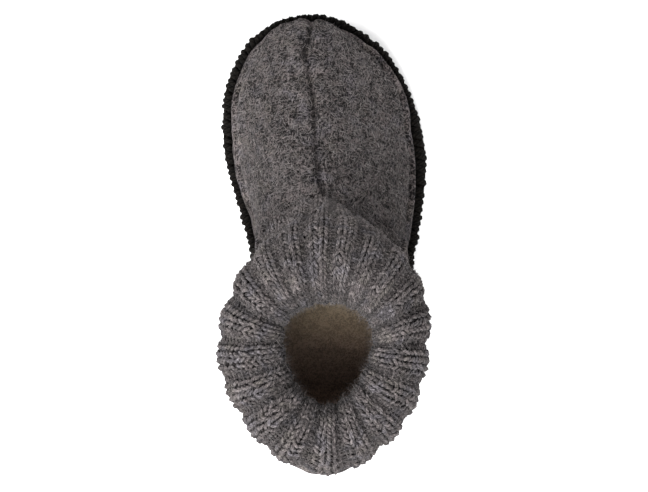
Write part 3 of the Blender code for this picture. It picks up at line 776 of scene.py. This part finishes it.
def rib_depth(phase):
    """How deep the ribs are at each place round the cuff, in parts of full depth: narrow ones are shallow."""
    flat, full = RIB_SPACINGS
    spacing = np.diff(np.append(RIB_TURNS, RIB_TURNS[0] + 360))
    depth = np.clip((spacing - flat) / (full - flat), *RIB_DEPTHS)
    return np.interp(phase, np.arange(RIBS) + 0.5, depth, period=RIBS)


def rib_face(place, phase):
    """The level of a rib's crown at a place, and of the knit at each phase beside it."""
    places, crowns, depths = zip(*KNIT_PROFILE)
    crown, relief = np.interp(place, places, crowns) * MM, np.interp(place, places, depths) * MM
    offset = np.abs(phase - np.round(phase))
    return crown, crown - relief * rib_depth(phase) * (2 * offset) ** RIB_SHAPE


def knit_course(cuff, course, rng):
    """The path of one course's yarn all round the cuff, with its normals, its radius and its height."""
    place = (course + FIRST_COURSE) / COURSES
    rib = cuff.rib_width(place)
    share = np.interp(rib / MM, *KNIT_SHARE)
    knit, purl = share / 2, (1 - share) / 2
    middles = np.array([-knit / 2, knit / 2, knit + purl / 2, knit + 1.5 * purl])
    middle = (np.arange(RIBS)[:, None] + middles).reshape(-1, 1)
    width = np.tile([knit, knit, purl, purl], RIBS)[:, None]
    drawn = (spread * rng.normal(size=width.shape) for spread in STITCH_SPREADS)
    taller, leaning, shift, lift, proud, pale = drawn
    tau = np.linspace(-math.pi, math.pi, STEPS, endpoint=False)
    head = np.cos(tau / 2) ** 2
    loop = tau / (2 * math.pi) + LOOP_OVERLAP * (1 + leaning) * np.sin(2 * tau) + shift * head
    up = (LOOP_HEIGHT * (1 + taller) * np.cos(tau) + lift * head).ravel()
    plain = middle + width * tau / (2 * math.pi)
    offset = np.abs(plain - np.round(plain))
    front = 1 - 2 * ease(offset, share / 2 - 0.04, share / 2 + 0.04)
    radius = np.clip(YARN_FILL * width * rib, LEAST_YARN, YARN) + 0 * tau
    radius = smooth_round(radius.ravel(), 3.0).reshape(radius.shape)
    depth = -LOOP_DEPTH * radius * front * np.cos(2 * tau) + proud * np.sin(tau) ** 2
    crown, level = rib_face(place, plain)
    phase = (middle + width * loop).ravel()

    def drift(courses, layer, size, seed):
        """Slow changes over the knit. Size is how wide they are in ribs."""
        places = (phase, 0 * phase + course / courses, 0 * phase + layer)
        return value_noise(np.column_stack(places), size, seed)

    risen = place + (up + WANDER * drift(4.7, 0, 1.3, 3)) / COURSES
    points, normals = cuff.at(phase + SWAY * drift(4.4, 5, 1.6, 4), risen)
    lifted = (level + depth).ravel() + PUFF * drift(5.8, 9, 1.4, 5)
    points = points + normals * lifted[:, None]
    # The height that the material reads: depth gives painted shade in hollows and painted light on crowns
    depth_for_painted_shade = (0.85 * depth + 0.25 * (level - crown)).ravel() / (3 * MM)
    # Painted shade where the knit turns down into the opening
    height = 0.5 + depth_for_painted_shade + np.repeat(pale, STEPS) - INNER_PAINTED_SHADE * ease(place, *INNER_SHADE)
    return points, normals, radius.ravel(), height


def make_knit(cuff, material):
    """The cuff's yarn in two pieces, the outer courses and the ones that turn down into the opening."""
    rng = np.random.default_rng(SEED)
    courses = [knit_course(cuff, course, rng) for course in range(COURSES)]
    split = COURSES // 2
    for name, part in (("knit_outside", courses[:split]), ("knit_inside", courses[split:])):
        paths, normals, radii, lifts = zip(*part)
        mesh = mesh_from(name, *tubes(paths, normals, radii, YARN_SIDES, lifts))
        piece = link(mesh, name, material)
        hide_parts("cuff")
    return courses


def make_backing(cuff, material):
    """The wrong side of the knit, which closes the gaps between the stitches."""
    rows, columns = 60, RIBS * 8
    place = np.linspace(0.0, 1.0, rows)[:, None] + np.zeros((1, columns))
    phase = np.zeros((rows, 1)) + np.arange(columns) * RIBS / columns
    points, normals = cuff.at(phase, place)
    level = rib_face(place, phase)[1] - BACKING_DEPTH * ease(place, 0, BACKING_START)
    outer = points + normals * level[..., None]
    inner = points + normals * (level[..., None] - BACKING_WALL)
    loops = np.concatenate([outer, inner[::-1]])
    mesh = mesh_from("knit_backing", loops.reshape(-1, 3), grid_faces(len(loops), columns))
    piece = link(mesh, "knit_backing", material)
    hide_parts("cuff")


def make_cuff_hairs(courses, material):
    rng = np.random.default_rng(SEED + 1)
    count = CUFF_HAIRS
    points, normals, radii = (np.concatenate([course[i] for course in courses]) for i in range(3))
    tangent = np.concatenate([np.roll(course[0], -1, 0) - course[0] for course in courses])
    pick = rng.integers(0, len(points), count)
    away = unit(normals[pick] + CUFF_HAIR_SPREAD * rng.normal(size=(count, 3)))
    onward = unit(tangent[pick]) * rng.choice([-1, 1], count)[:, None]
    directions = away + onward * rng.uniform(*CUFF_HAIR_LEANS, count)[:, None]
    side = unit(away - along(away, onward) * onward)
    roots = points[pick] + side * radii[pick][:, None] * 0.85
    fuzz = rng.uniform(size=count) < FUZZ_SHARE
    short = rng.uniform(*FUZZ_LENGTHS, count)
    lengths = np.where(fuzz, short, np.minimum(rng.gamma(3.0, 1.1, count), LONGEST_HAIR))
    thick = np.where(fuzz, FUZZ_RADIUS, CUFF_HAIR_RADIUS)
    mesh = hairs("cuff_hairs", roots, directions, lengths, thick, CUFF_HAIR_SAG, SEED + 2)
    link(mesh, "cuff_hairs", material)


# The upper


def throat_crease(plan):
    """One in the middle of the short creases at the throat, nothing away from them."""
    found = np.zeros(len(plan))
    for ends in THROAT_CREASES:
        start, line = np.array(ends[:2]), np.array(ends[2:]) - ends[:2]
        part = np.clip((plan - start) @ line / (line @ line), 0, 1)
        away = np.linalg.norm(plan - start - part[:, None] * line, axis=1)
        found = np.maximum(found, bell(away, 0, CREASE_WIDTH) * ease(np.sin(math.pi * part), 0, 0.5))
    return found


def wall_reach(points, facing, inset, near, count):
    """How far inside each place of the outline the felt's outer wall stands, in mm."""
    low, high = WALL_HEIGHTS
    wall = (points[:, 2] > low) & (points[:, 2] < high) & (facing > 0.3)
    reach = np.full(count, np.inf)
    np.minimum.at(reach, near[wall], inset[wall])
    known = np.isfinite(reach)
    place = np.arange(count)
    return smooth_round(np.interp(place, place[known], reach[known], period=count), 30.0)


def felt_relief(points, normals, outline):
    """How the felt's surface moves, its tone, and where it is hairy."""
    inset, away, near = edge_inset(points, outline)
    width = by_direction(EDGE_WIDTHS, points[:, 0], points[:, 1]) / MM
    points, inset = points / MM, inset / MM
    across, ahead, height = points.T
    facing = along(normals, away)[:, 0]
    outer = ease(normals[:, 2], -0.1, 0.3)
    shell = ease(facing + np.clip(normals[:, 2], 0, 1), -0.1, 0.4)
    on_vamp = outer * ease(ahead, *VAMP_START)
    uneven = np.clip(1 + 0.9 * value_noise(points, 9, 15), 0.2, 2)

    line = np.array(SEAM_LINE)[::-1]
    side = across - np.interp(ahead, line[:, 1], line[:, 0]) + 0.7 * value_noise(points * [0, 1, 0], 7, 16)
    trough = bell(side, 0, SEAM_WIDTH)
    crease = throat_crease(points[:, :2]) * outer
    # The puckers differ between the seam's two sides and get stronger towards the throat
    pucker = value_noise(np.column_stack([np.sign(side) * 40, ahead, 0 * side]), PUCKER_SIZE, 14)
    pucker = pucker * (0.9 + 0.8 * ease(-ahead, -75, -45))
    swell_height, swell_place, swell_width = SEAM_SWELL
    puckered = np.clip(0.8 + 1.8 * pucker, -0.4, 2.2)
    swell = swell_height * bell(np.abs(side), swell_place, swell_width) * puckered
    lift = layered_noise(points, FELT_LUMPS) + on_vamp * (swell - SEAM_GROOVE * trough)
    lift = lift - CREASE_DEPTH * crease
    # Random patches, and painted shade in the seam's groove
    tone = 0.5 + layered_noise(points, FELT_PATCHES) + SEAM_PAINTED_SHADE * on_vamp * trough * uneven
    # Painted shadow in the throat's creases, under the felt's cut edge
    tone = tone + CREASE_PAINTED_SHADE * crease
    # Painted light and shade on the puckers beside the seam
    tone = tone + PUCKER_PAINTED_LIGHT * on_vamp * bell(np.abs(side), *PUCKER_PLACE) * np.clip(pucker, -1, 1)

    reach = wall_reach(points, facing, inset, near, len(outline[0]))[near]
    past = inset - reach
    lateral = ease(across, -12, 18)
    sharp = 0.6 + 0.4 * lateral
    ridge_height, ridge_place, ridge_width = RIM_RIDGE
    groove_depth, groove_place, groove_width = RIM_GROOVE
    ridge = bell(past, ridge_place, ridge_width)
    groove = sharp * bell(past, groove_place, groove_width)
    lift = lift + (ridge_height * ridge - groove_depth * groove) * uneven * ease(height, *RIM_HEIGHTS) * shell
    # Painted highlight on the rim's ridge and painted shade in its groove
    painted_rim_highlight = (0.15 - 0.06 * sharp) * bell(past, ridge_place, 0.9)
    tone = tone + (painted_rim_highlight + GROOVE_PAINTED_SHADE * groove) * shell * uneven
    # Painted light along the vamp's rim, most on the medial side, where more light falls
    pale = (0.05 + 0.33 * ease(-ahead, -75, -50)) * (1 - 0.8 * lateral)
    tone = tone + pale * bell(past, *RIM_SWELL) * on_vamp
    # Painted shade on the vamp near the throat
    tone = tone + THROAT_PAINTED_SHADE * outer * bell(ahead, *THROAT_PLACE)
    # Painted light on the back of the heel, where the light falls from behind
    tone = tone + HEEL_PAINTED_LIGHT * ease(-ahead, *HEEL_START) * ease(normals[:, 2], -0.5, 0.4) * shell

    notch_depth, notch_width = TOE_NOTCH
    notch = notch_depth * bell(side, 0, notch_width) * ease(ahead, 90, 100)
    shove = (np.clip(reach - width, *WALL_SHOVE) - notch) * ease(height, 8.5, 11.5) * ease(-height, -40, -20)
    moved = (normals * lift[:, None] + away * shove[:, None]) * MM
    hairy = shell * ease(past, 1.2, 3.2) * (1 - on_vamp * bell(side, 0, 1.5))
    return moved, np.clip(tone, 0, 1), hairy


def make_upper(material, outline):
    """The felt upper: the solid's own shape, made smooth, then sunk at the seam and matted all over."""
    points, normals, mesh = solid_copy("upper", (1.0) * MM, 14)
    moved, tone, hairy = felt_relief(points, normals, outline)
    points = points + moved
    reshape(mesh, "felt_upper", points)
    add_heights(mesh, tone)
    piece = link(mesh, "felt_upper", material)
    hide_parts("upper")
    return points, normals, hairy


def make_felt_hairs(points, normals, hairy, material):
    """Hairs that lie almost flat on the felt's outer face."""
    rng = np.random.default_rng(SEED + 5)
    count = FELT_HAIRS
    pick = rng.choice(np.flatnonzero(hairy > 0.5), count)
    normal = normals[pick]
    flat = unit(np.cross(normal, rng.normal(size=(count, 3))))
    directions = flat + normal * rng.uniform(*FELT_HAIR_RISES, count)[:, None]
    roots = points[pick] + flat * rng.uniform(-0.5, 0.5, count)[:, None] * MM
    lengths = rng.gamma(4.0, 0.55, count)
    mesh = hairs("felt_hairs", roots, directions, lengths, FELT_HAIR_RADIUS, FELT_HAIR_SAG, SEED + 6)
    link(mesh, "felt_hairs", material)


# The whipped edge


def edge_outline():
    """Evenly spaced points of the slipper's outline with the top and bottom of its stitched edge, the outward
    normals there, the outline's length, and how far it is drawn in."""
    directions = np.linspace(0, 2 * math.pi, EDGE_CUTS, endpoint=False)
    rows = []
    for (distance, height), direction in zip(slices("stitched_edge", np.zeros(2), directions), directions):
        far = distance.max()
        rim = distance > far - 4 * MM
        plan = (far * math.sin(direction), far * math.cos(direction))
        rows.append((*plan, height[rim].max(), height[rim].min()))
    rows = smooth_round(np.array(rows), 4.0)
    step = np.linalg.norm(np.roll(rows[:, :2], -1, 0) - rows[:, :2], axis=1)
    length = np.concatenate([[0], np.cumsum(step)])
    where = np.linspace(0, length[-1], EDGE_PLACES, endpoint=False)
    closed = np.vstack([rows, rows[:1]])
    rows = np.column_stack([np.interp(where, length, closed[:, i]) for i in range(4)])
    tangent = unit(np.roll(rows[:, :2], -2, 0) - np.roll(rows[:, :2], 2, 0))
    normal = np.column_stack([-tangent[:, 1], tangent[:, 0]])
    normal *= np.sign(normal[0] @ rows[0, :2])
    shift = by_direction(EDGE_SHIFTS, rows[:, 0], rows[:, 1])
    rows[:, :2] -= normal * shift[:, None]
    return rows, normal, length[-1], shift


def edge_inset(points, outline):
    """How far inside the outline points lie, the outward direction there and the place on the outline."""
    rows, normal = outline[:2]
    tree = KDTree(len(rows))
    for number, row in enumerate(rows):
        tree.insert((row[0], row[1], 0.0), number)
    tree.balance()
    near = np.array([tree.find((point[0], point[1], 0.0))[1] for point in points])
    inset = -((points[:, :2] - rows[near, :2]) * normal[near]).sum(1)
    return inset, np.column_stack([normal[near], np.zeros(len(points))]), near


def make_edge_core(material, outline):
    """The dark band that the loops of yarn lie on."""
    points, normals, mesh = solid_copy("stitched_edge", 0.9 * MM, 3)
    inset, away, near = edge_inset(points, outline)
    drawn = outline[3][near] * ease(-inset, -6 * MM, -2 * MM)
    sunk = CORE_SINK * (1 + value_noise(points, 2.5 * MM, 21))
    reshape(mesh, "edge_core", points - away * drawn[:, None] - normals * sunk[:, None])
    core = link(mesh, "edge_core", material)
    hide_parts("stitched_edge")


def make_whipping(material, outline):
    """Loops of thick yarn sewn over the edge, one after the other all round."""
    rows, normal, length, _ = outline
    fine = len(rows)
    stitches = round(length / STITCH_PITCH)
    rng = np.random.default_rng(SEED + 9)
    paths, guides, radii = [], [], []
    for stitch in range(stitches):
        late, reach, bulge, thick = (spread * rng.normal() for spread in WHIP_SPREADS)
        start = (stitch + late) / stitches
        path = []
        for part, inset, height, top, lead in WHIP_LOOP:
            where = int(round((start + lead / stitches) * fine)) % fine
            width = by_direction(EDGE_WIDTHS, rows[where, 0], rows[where, 1])
            inward = part * width * (1 + reach) + inset * MM - (bulge if part == 0 else 0)
            plan = rows[where, :2] - normal[where] * inward
            path.append((*plan, rows[where, 2 if top else 3] + height * MM))
        path = round_path(np.array(path), WHIP_STEPS)
        away = normal[int(start * fine) % fine]
        paths.append(path)
        guides.append(np.tile((-away[1], away[0], 0.0), (len(path), 1)))
        radii.append(EDGE_YARN * (1 + thick))
    points, faces, uvs, _ = tubes(paths, guides, radii, WHIP_SIDES)
    link(mesh_from("whipping", points, faces, uvs), "whipping", material)


# Stage


def make_stage():
    bpy.ops.mesh.primitive_plane_add(size=8.0, location=(0, 0, 0))
    floor = bpy.context.object
    floor.name = "floor"
    paper = Paint("paper", 0.9, specular=0.2)
    floor.data.materials.append(paper.finish((0.95, 0.95, 0.95, 1.0)))

    world = bpy.data.worlds.new("studio")
    bpy.context.scene.world = world
    world.use_nodes = True
    background = world.node_tree.nodes["Background"]
    background.inputs["Color"].default_value = (1.0, 1.0, 1.0, 1.0)
    background.inputs["Strength"].default_value = SKY

    for name, place, size, power in LIGHTS:
        light = bpy.data.lights.new(name, "AREA")
        light.shape = "SQUARE"
        light.size = size
        light.energy = power
        lamp = new_object(name, light)
        lamp.location = place
        lamp.rotation_euler = (-Vector(place)).to_track_quat("-Z", "Y").to_euler()

    camera = bpy.data.cameras.new("camera")
    camera.lens = CAMERA_LENS
    camera.sensor_width = 36.0
    camera.clip_end = 20.0
    eye = new_object("camera", camera)
    eye.location = (0.0, 0.0, CAMERA_HEIGHT)
    bpy.context.scene.camera = eye
    bpy.context.scene.view_settings.view_transform = "Standard"


def main():
    knit = yarn_material("grey_yarn", GREY_YARN, twist=1.1, shade=0.30, sheen=0.04, specular=0.05, tints=0.5)
    black = yarn_material("black_yarn", BLACK_WOOL, twist=1.4, shade=0.0, sheen=0.02, specular=0.0, tints=0.0)
    felt = felt_material("grey_felt", GREY_FELT, sheen=0.03, tints=0.5, tone_and_painted_light=True)
    # Painted shade: the wrong side takes the yarn's colours darkened
    shaded_wrong_side = [tuple(BACKING_PAINTED_SHADE * part for part in colour) for colour in GREY_YARN]
    hair = hair_material()

    insole = felt_material("insole_felt", OLIVE_FELT, sheen=0.03, shades=INSOLE_PAINTED_LIGHT)
    dress(node_mesh("insole"), insole)
    dress(node_mesh("outsole"), rubber_material())
    outline = edge_outline()
    make_felt_hairs(*make_upper(felt, outline), hair)
    make_edge_core(felt_material("black_felt", BLACK_WOOL), outline)
    make_whipping(black, outline)
    cuff = Cuff()
    courses = make_knit(cuff, knit)
    make_backing(cuff, felt_material("knit_back", shaded_wrong_side, sheen=0.03, tints=0.5))
    make_cuff_hairs(courses, hair)
    make_stage()


main()
